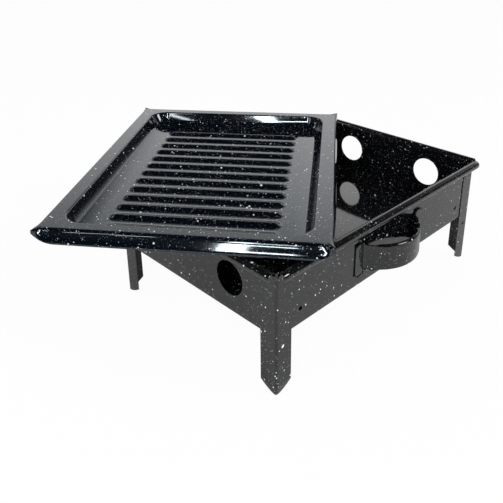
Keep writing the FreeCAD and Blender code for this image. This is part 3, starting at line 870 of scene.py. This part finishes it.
def strapPlan(shape):
    # outer face in plan, from one free end to the other: a straight along the wall, a small
    # circle's arc turning outwards, and the bow's large circle, which touch where they meet
    base = shape["wall"] + shape["sheet"] / 2
    outer = shape["sheet"] / 2
    bend = shape["bend"]
    bow = shape["bow"]
    bowMiddle = base + shape["reach"] - bow
    swing = math.acos((base + bend - bowMiddle) / (bow + bend))
    bendAlong = (bow + bend) * math.sin(swing)
    quarter = 1 - np.cos(np.radians(np.linspace(0, 90, shape["cornerSteps"] + 1)))
    straight = closeSpan(shape["halfSpan"] - shape["corner"], bendAlong, shape["flatStep"])[1:]
    straight = np.concatenate([shape["halfSpan"] - shape["corner"] * quarter, straight])
    inTurn = np.linspace(math.pi, math.pi - swing, shape["bendSteps"] + 1)[1:]
    outTurn = np.linspace(swing, 0, shape["bowSteps"] + 1)[1:]
    planX = np.concatenate([
        np.full(len(straight), base + outer),
        base + bend + (bend - outer) * np.cos(inTurn),
        bowMiddle + (bow + outer) * np.cos(outTurn),
    ])
    planY = np.concatenate([
        straight,
        bendAlong - (bend - outer) * np.sin(inTurn),
        (bow + outer) * np.sin(outTurn),
    ])
    return np.concatenate([planX, planX[-2::-1]]), np.concatenate([planY, -planY[-2::-1]])


def strapHalf(shape, along):
    # half height at a distance along: quarter circles at the free end's corners, full at
    # the flat ends, and a smooth step down to the grip
    corner = shape["corner"]
    rounded = np.clip(corner - (shape["halfSpan"] - along), 0, None)
    pad = shape["halfPad"] - corner + np.sqrt(np.clip(corner ** 2 - rounded ** 2, 0, None))
    ease = np.clip((along - shape["gripEnd"]) / (shape["padStart"] - shape["gripEnd"]), 0, 1)
    grown = (shape["halfPad"] - shape["halfGrip"]) * ease * ease * (3 - 2 * ease)
    return np.where(along < shape["padStart"], shape["halfGrip"] + grown, pad)


def makeHandle(node, shape, side):
    # across the strap a row is flat between two curls: circle arcs that turn the long edges
    # in towards the box, and that shrink to nearly nothing at the flat ends
    planX, planY = strapPlan(shape)
    half = strapHalf(shape, np.abs(planY))
    tangentX = np.gradient(planX)
    tangentY = np.gradient(planY)
    size = np.hypot(tangentX, tangentY)
    ease = (shape["curlEnd"] - np.abs(planY)) / shape["curlEase"]
    curl = shape["curl"] * np.clip(ease, shape["curlLeast"], 1)
    turns = np.radians(np.linspace(0, shape["curlTurn"], shape["curlSteps"] + 1))[::-1, None]
    curlIn = curl * (1 - np.cos(turns))
    curlUp = half - curl + curl * np.sin(turns)
    parts = np.linspace(1, -1, shape["acrossSteps"] + 1)[1:-1, None]
    inward = np.concatenate([curlIn, 0 * curl * parts, curlIn[::-1]])
    upward = np.concatenate([curlUp, (half - curl) * parts, -curlUp[::-1]])
    points = np.stack([
        (planX + inward * tangentY / size) * side,
        planY - inward * tangentX / size,
        shape["middle"] + upward,
    ], axis=-1)
    piece = meshFrom(node + "_sheet", points, gridFaces(*upward.shape))
    finishSheet(piece, shape, (side, 0, 0), boxEnamel)
    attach(piece, "root")
    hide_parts(node)
    return piece


for node, side in (("handle_right", 1), ("handle_left", -1)):
    handle = makeHandle(node, handleShape, side)
    print(node, len(handle.data.polygons))


# camera: where the photograph was taken from, solved from the grill's own edges

view = {
    "place": (0.5372, -0.6215, 0.5321),
    "yaw": 46.8,
    "pitch": 20.9,
    "roll": -1.0,
    "lens": 44.34,
    "sensor": 36.0,
    "shiftX": 0.0149,
    "shiftY": -0.2245,
    "clipStart": 0.01,
}


def makeCamera(settings):
    # the look direction comes from yaw and pitch, and roll turns right and up about it
    yaw = math.radians(settings["yaw"])
    pitch = math.radians(settings["pitch"])
    roll = math.radians(settings["roll"])
    forward = np.array([
        -math.sin(yaw) * math.cos(pitch),
        math.cos(yaw) * math.cos(pitch),
        -math.sin(pitch),
    ])
    right = np.cross(forward, [0, 0, 1])
    right /= np.linalg.norm(right)
    up = np.cross(right, forward)
    rolledRight = math.cos(roll) * right + math.sin(roll) * up
    rolledUp = -math.sin(roll) * right + math.cos(roll) * up
    data = bpy.data.cameras.new("camera")
    data.sensor_width = settings["sensor"]
    data.lens = settings["lens"]
    data.shift_x = settings["shiftX"]
    data.shift_y = settings["shiftY"]
    data.clip_start = settings["clipStart"]
    camera = bpy.data.objects.new("camera", data)
    bpy.context.scene.collection.objects.link(camera)
    matrix = Matrix.Identity(4)
    for column, vector in enumerate((rolledRight, rolledUp, -forward, settings["place"])):
        for row in range(3):
            matrix[row][column] = vector[row]
    camera.matrix_world = matrix
    bpy.context.scene.camera = camera


makeCamera(view)


# studio: pale floor, white surround, and soft lamps

frontAim = (0.0, -0.1, 0.2)
wallAim = (-0.2, 0.1, 0.2)
slimAim = (-0.2, 0.0, 0.2)
sideAim = (0.0, 0.0, 0.1)

studio = {
    "floorHalf": 5.0,
    "floorDrop": 0.2 * mm,             # below the feet
    "floorColour": (0.80, 0.80, 0.80, 1),
    "floorWhite": 0.96,                # share of plain white that the camera sees
    "surround": 0.45,                  # light from all round
    "towards": (-0.5, 0.866, 0.0),     # where mirrors see the bright part of the surround
    "sheen": 1.20,                     # its strength low down
    "sheenFades": (0.42, 0.66),        # between these heights, as a share of straight up
    "haze": 0.34,                      # its strength above that
    "hazeFades": (0.50, 0.97),
    "hazeLeast": 0.04,
    "sideGrows": (0.42, 0.87),         # both grow between these, the cosine of the turn away
    "sideLeast": 0.05,
    "horizonGrows": (0.12, 0.31),      # and between these heights
    "horizonLeast": 0.03,
    "lamps": (                         # name, place, aim, width and height, watts
        ("front_lamp", (1.00, -1.83, 0.62), frontAim, (0.11, 0.62), 9.0),
        ("upper_arm", (1.13, -1.75, 0.88), frontAim, (0.22, 0.08), 2.0),
        ("lower_arm", (1.13, -1.75, 0.36), frontAim, (0.22, 0.08), 2.0),
        ("wall_lamp", (0.80, -1.53, 1.48), wallAim, (0.10, 0.60), 8.0),
        ("wall_upper_arm", (0.93, -1.45, 1.76), wallAim, (0.18, 0.07), 2.0),
        ("wall_lower_arm", (0.93, -1.45, 1.22), wallAim, (0.18, 0.07), 2.0),
        ("slim_lamp", (0.42, -1.87, 1.60), slimAim, (0.05, 0.70), 2.0),
        ("side_lamp", (0.20, -1.87, 1.60), slimAim, (0.05, 0.70), 2.0),
        ("left_lamp", (-2.2, -1.1, 1.9), sideAim, (0.90, 0.90), 12.0),
        ("right_lamp", (2.1, 1.1, 1.9), sideAim, (0.90, 0.90), 37.0),
    ),
}


def makeFloor(settings):
    # a square that the camera sees nearly white, and that still takes the grill's soft shadow
    half = settings["floorHalf"]
    corners = np.array([[-half, -half, 0], [half, -half, 0], [half, half, 0], [-half, half, 0]])
    floor = meshFrom("floor", corners, np.array([[0, 1, 2, 3]]))
    material = bpy.data.materials.new("floor")
    material.use_nodes = True
    tree = material.node_tree
    tree.nodes.remove(tree.nodes["Principled BSDF"])
    lit = addNode(tree, "ShaderNodeBsdfDiffuse", {"Color": settings["floorColour"]})
    glow = addNode(tree, "ShaderNodeEmission", {"Strength": 1.0})
    path = tree.nodes.new("ShaderNodeLightPath")
    share = combine(tree, "MULTIPLY", path.outputs["Is Camera Ray"], settings["floorWhite"])
    mix = addNode(tree, "ShaderNodeMixShader", {0: share, 1: lit.outputs[0], 2: glow.outputs[0]})
    tree.links.new(mix.outputs[0], tree.nodes["Material Output"].inputs["Surface"])
    floor.data.materials.append(material)
    floor.location.z = -settings["floorDrop"]


def makeSurround(settings):
    # plain white for the camera and even light for the rest; mirrors see sheen plus haze,
    # each fading with height, times a share that grows from the sides and from the horizon
    world = bpy.data.worlds.new("surround")
    bpy.context.scene.world = world
    world.use_nodes = True
    tree = world.node_tree
    place = tree.nodes.new("ShaderNodeTexCoord").outputs["Generated"]
    height = addNode(tree, "ShaderNodeSeparateXYZ", {"Vector": place}).outputs["Z"]
    turned = tree.nodes.new("ShaderNodeVectorMath")
    turned.operation = "DOT_PRODUCT"
    setInputs(tree, turned, {0: place, 1: settings["towards"]})
    sheen = mapRange(tree, height, *settings["sheenFades"], settings["sheen"], 0, smooth=True)
    haze = mapRange(tree, height, *settings["hazeFades"], settings["haze"], settings["hazeLeast"])
    side = mapRange(tree, turned.outputs["Value"], *settings["sideGrows"], settings["sideLeast"], 1)
    horizon = mapRange(tree, height, *settings["horizonGrows"],
                       settings["horizonLeast"], 1, smooth=True)
    mirrored = combine(tree, "MULTIPLY", combine(tree, "ADD", sheen, haze), horizon)
    mirrored = combine(tree, "MULTIPLY", mirrored, side)
    path = tree.nodes.new("ShaderNodeLightPath")
    forMirrors = addNode(tree, "ShaderNodeMix", {
        "Factor": path.outputs["Is Glossy Ray"],
        "A": settings["surround"],
        "B": mirrored,
    })
    forCamera = addNode(tree, "ShaderNodeMix", {
        "Factor": path.outputs["Is Camera Ray"],
        "A": forMirrors.outputs["Result"],
        "B": 1.0,
    })
    setInputs(tree, tree.nodes["Background"], {
        "Color": (1, 1, 1, 1),
        "Strength": forCamera.outputs["Result"],
    })


def makeLamp(name, place, aim, size, watts):
    # a rectangle of light that faces its aim
    data = bpy.data.lights.new(name, "AREA")
    data.shape = "RECTANGLE"
    data.size, data.size_y = size
    data.energy = watts
    lamp = bpy.data.objects.new(name, data)
    bpy.context.scene.collection.objects.link(lamp)
    lamp.location = place
    direction = Vector(aim) - lamp.location
    lamp.rotation_euler = direction.to_track_quat("-Z", "Y").to_euler()


makeFloor(studio)
makeSurround(studio)
for lamp in studio["lamps"]:
    makeLamp(*lamp)
bpy.context.scene.view_settings.view_transform = "Standard"
print("studio set")
